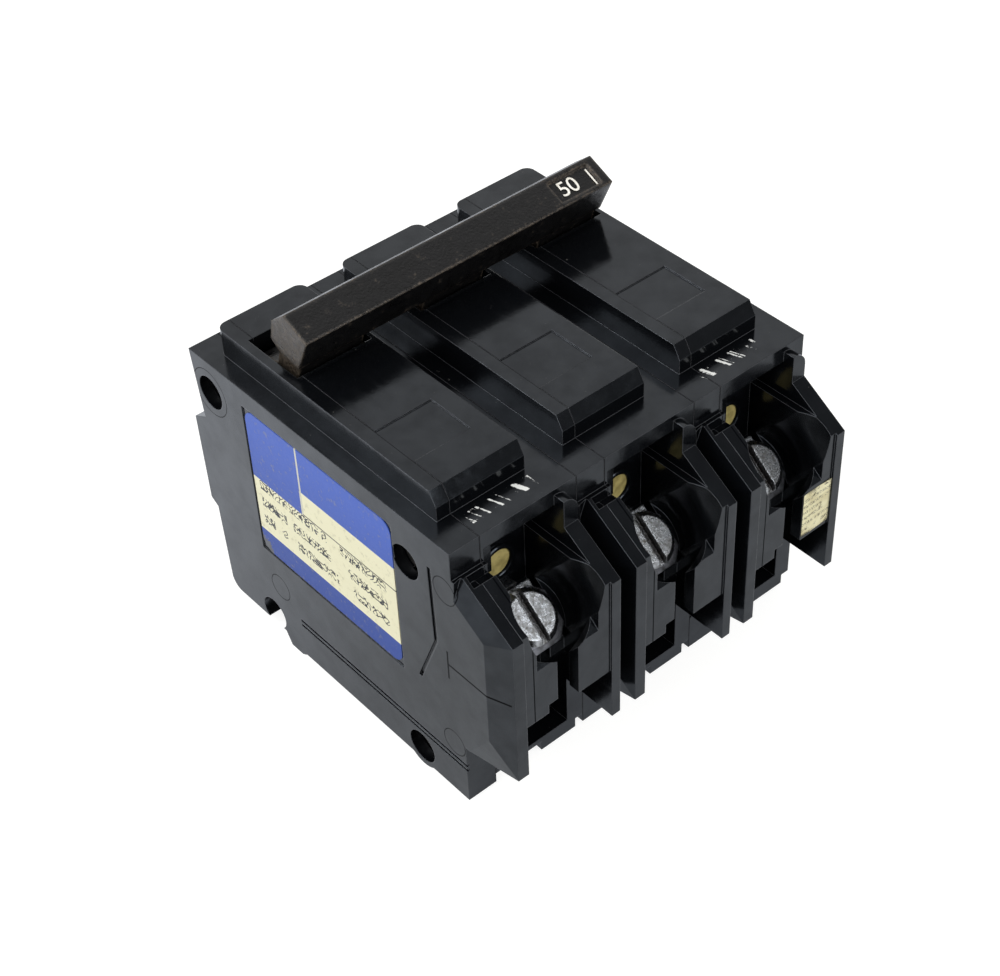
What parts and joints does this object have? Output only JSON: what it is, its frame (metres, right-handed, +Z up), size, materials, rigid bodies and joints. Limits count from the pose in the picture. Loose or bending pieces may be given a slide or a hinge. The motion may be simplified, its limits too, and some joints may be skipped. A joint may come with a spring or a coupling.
{
  "type": "circuit breaker",
  "caption": "Multi-pole plug-in circuit breaker: black moulded poles side by side with one tied handle, tilted screw terminals between barriers, and line jaws under the far end.",
  "frame": {"origin": "centre of the bounding box in plan, on the surface that the breaker lies on", "axes": "+X across the poles away from the labelled side, +Y towards the line jaws, +Z up out of the handle face"},
  "size_m": [0.0762, 0.081, 0.0726],
  "materials": {
    "moulding": "black thermoset moulding, satin",
    "handle_moulding": "black moulding, polished by handling",
    "trip_moulding": "plain moulding, matt",
    "copper": "bare copper, dull",
    "brass": "turned, satin",
    "steel": "stamped, plain",
    "spring_steel": "drawn, bright",
    "rivet_steel": "dull, darkened",
    "plated_steel": "zinc plated",
    "contact_silver": "satin",
    "bimetal_alloy": "rolled strip",
    "sealing_wax": "poured, matt",
    "label_foil": "printed foil"
  },
  "bodies": {
    "housing": {"case_1": "moulding", "case_2": "moulding", "case_3": "moulding", "cover_1": "moulding", "cover_2": "moulding", "cover_3": "moulding", "line_jaw_1": "copper", "line_jaw_2": "copper", "line_jaw_3": "copper", "toggle_spring_1": "spring_steel", "toggle_spring_2": "spring_steel", "toggle_spring_3": "spring_steel", "magnet_yoke_1": "steel", "magnet_yoke_2": "steel", "magnet_yoke_3": "steel", "bimetal_1": "bimetal_alloy", "bimetal_2": "bimetal_alloy", "bimetal_3": "bimetal_alloy", "braid_1": "copper", "braid_2": "copper", "braid_3": "copper", "arc_chute_1": "steel", "arc_chute_2": "steel", "arc_chute_3": "steel", "load_terminal_1": "plated_steel", "load_terminal_2": "plated_steel", "load_terminal_3": "plated_steel", "fixed_contacts": "contact_silver", "calibration_screws": "brass", "calibration_seals": "sealing_wax", "side_label": "label_foil", "through_rivets": "rivet_steel", "mechanism_pins": "steel"},
    "handle": {"handle_lever_1": "handle_moulding", "handle_lever_2": "handle_moulding", "handle_lever_3": "handle_moulding", "handle_tie": "handle_moulding"},
    "trip_bar": {"trip_bar": "trip_moulding"},
    "arm_1": {"contact_arm_1": "copper"},
    "cradle_1": {"cradle_1": "steel"},
    "armature_1": {"armature_1": "steel"},
    "clamp_1": {"clamp_plate_1": "plated_steel"},
    "screw_1": {"terminal_screw_1": "plated_steel"},
    "arm_2": {"contact_arm_2": "copper"},
    "cradle_2": {"cradle_2": "steel"},
    "armature_2": {"armature_2": "steel"},
    "clamp_2": {"clamp_plate_2": "plated_steel"},
    "screw_2": {"terminal_screw_2": "plated_steel"},
    "arm_3": {"contact_arm_3": "copper"},
    "cradle_3": {"cradle_3": "steel"},
    "armature_3": {"armature_3": "steel"},
    "clamp_3": {"clamp_plate_3": "plated_steel"},
    "screw_3": {"terminal_screw_3": "plated_steel"}
  },
  "joints": [
    {"name": "handle_hinge", "type": "hinge", "parent": "housing", "child": "handle", "pos_m": [0, 0.0211, 0.0508], "axis": [1, 0, 0], "range_deg": [-32, 0]},
    {"name": "trip_hinge", "type": "hinge", "parent": "housing", "child": "trip_bar", "pos_m": [0, -0.007, 0.015], "axis": [1, 0, 0], "range_deg": [0, 9], "stiffness_Nm_per_rad": 0.01},
    {"name": "arm_hinge_1", "type": "hinge", "parent": "housing", "child": "arm_1", "pos_m": [-0.02535, 0.0125, 0.038], "axis": [1, 0, 0], "range_deg": [0, 19.5], "deforming": ["toggle_spring_1", "braid_1"]},
    {"name": "cradle_hinge_1", "type": "hinge", "parent": "housing", "child": "cradle_1", "pos_m": [-0.0221, 0.0015, 0.047], "axis": [1, 0, 0], "range_deg": [-8, 0]},
    {"name": "armature_hinge_1", "type": "hinge", "parent": "housing", "child": "armature_1", "pos_m": [-0.02735, -0.0127, 0.0402], "axis": [1, 0, 0], "range_deg": [-3, 0]},
    {"name": "clamp_slide_1", "type": "slide", "parent": "housing", "child": "clamp_1", "axis": [0, -0.6428, 0.766], "range_m": [-0.00176, 0.00121]},
    {"name": "screw_hinge_1", "type": "hinge", "parent": "clamp_1", "child": "screw_1", "pos_m": [-0.0252, -0.0321, 0.0374], "axis": [0, -0.6428, 0.766], "range_deg": [-795, 547]},
    {"name": "arm_hinge_2", "type": "hinge", "parent": "housing", "child": "arm_2", "pos_m": [0.00005, 0.0125, 0.038], "axis": [1, 0, 0], "range_deg": [0, 19.5], "deforming": ["toggle_spring_2", "braid_2"]},
    {"name": "cradle_hinge_2", "type": "hinge", "parent": "housing", "child": "cradle_2", "pos_m": [0.0033, 0.0015, 0.047], "axis": [1, 0, 0], "range_deg": [-8, 0]},
    {"name": "armature_hinge_2", "type": "hinge", "parent": "housing", "child": "armature_2", "pos_m": [-0.00195, -0.0127, 0.0402], "axis": [1, 0, 0], "range_deg": [-3, 0]},
    {"name": "clamp_slide_2", "type": "slide", "parent": "housing", "child": "clamp_2", "axis": [0, -0.6428, 0.766], "range_m": [-0.00176, 0.00121]},
    {"name": "screw_hinge_2", "type": "hinge", "parent": "clamp_2", "child": "screw_2", "pos_m": [0.0002, -0.0321, 0.0374], "axis": [0, -0.6428, 0.766], "range_deg": [-795, 547]},
    {"name": "arm_hinge_3", "type": "hinge", "parent": "housing", "child": "arm_3", "pos_m": [0.02545, 0.0125, 0.038], "axis": [1, 0, 0], "range_deg": [0, 19.5], "deforming": ["toggle_spring_3", "braid_3"]},
    {"name": "cradle_hinge_3", "type": "hinge", "parent": "housing", "child": "cradle_3", "pos_m": [0.0287, 0.0015, 0.047], "axis": [1, 0, 0], "range_deg": [-8, 0]},
    {"name": "armature_hinge_3", "type": "hinge", "parent": "housing", "child": "armature_3", "pos_m": [0.02345, -0.0127, 0.0402], "axis": [1, 0, 0], "range_deg": [-3, 0]},
    {"name": "clamp_slide_3", "type": "slide", "parent": "housing", "child": "clamp_3", "axis": [0, -0.6428, 0.766], "range_m": [-0.00176, 0.00121]},
    {"name": "screw_hinge_3", "type": "hinge", "parent": "clamp_3", "child": "screw_3", "pos_m": [0.0256, -0.0321, 0.0374], "axis": [0, -0.6428, 0.766], "range_deg": [-795, 547]}
  ],
  "couplings": [
    {"joint": "arm_hinge_1", "follows": "handle_hinge", "ratio": -0.609},
    {"joint": "cradle_hinge_1", "follows": "trip_hinge", "ratio": -0.88},
    {"joint": "armature_hinge_1", "follows": "trip_hinge", "ratio": -0.33},
    {"joint": "screw_hinge_1", "follows": "clamp_slide_1", "rad_per_m": 7854},
    {"joint": "arm_hinge_2", "follows": "handle_hinge", "ratio": -0.609},
    {"joint": "cradle_hinge_2", "follows": "trip_hinge", "ratio": -0.88},
    {"joint": "armature_hinge_2", "follows": "trip_hinge", "ratio": -0.33},
    {"joint": "screw_hinge_2", "follows": "clamp_slide_2", "rad_per_m": 7854},
    {"joint": "arm_hinge_3", "follows": "handle_hinge", "ratio": -0.609},
    {"joint": "cradle_hinge_3", "follows": "trip_hinge", "ratio": -0.88},
    {"joint": "armature_hinge_3", "follows": "trip_hinge", "ratio": -0.33},
    {"joint": "screw_hinge_3", "follows": "clamp_slide_3", "rad_per_m": 7854}
  ]
}
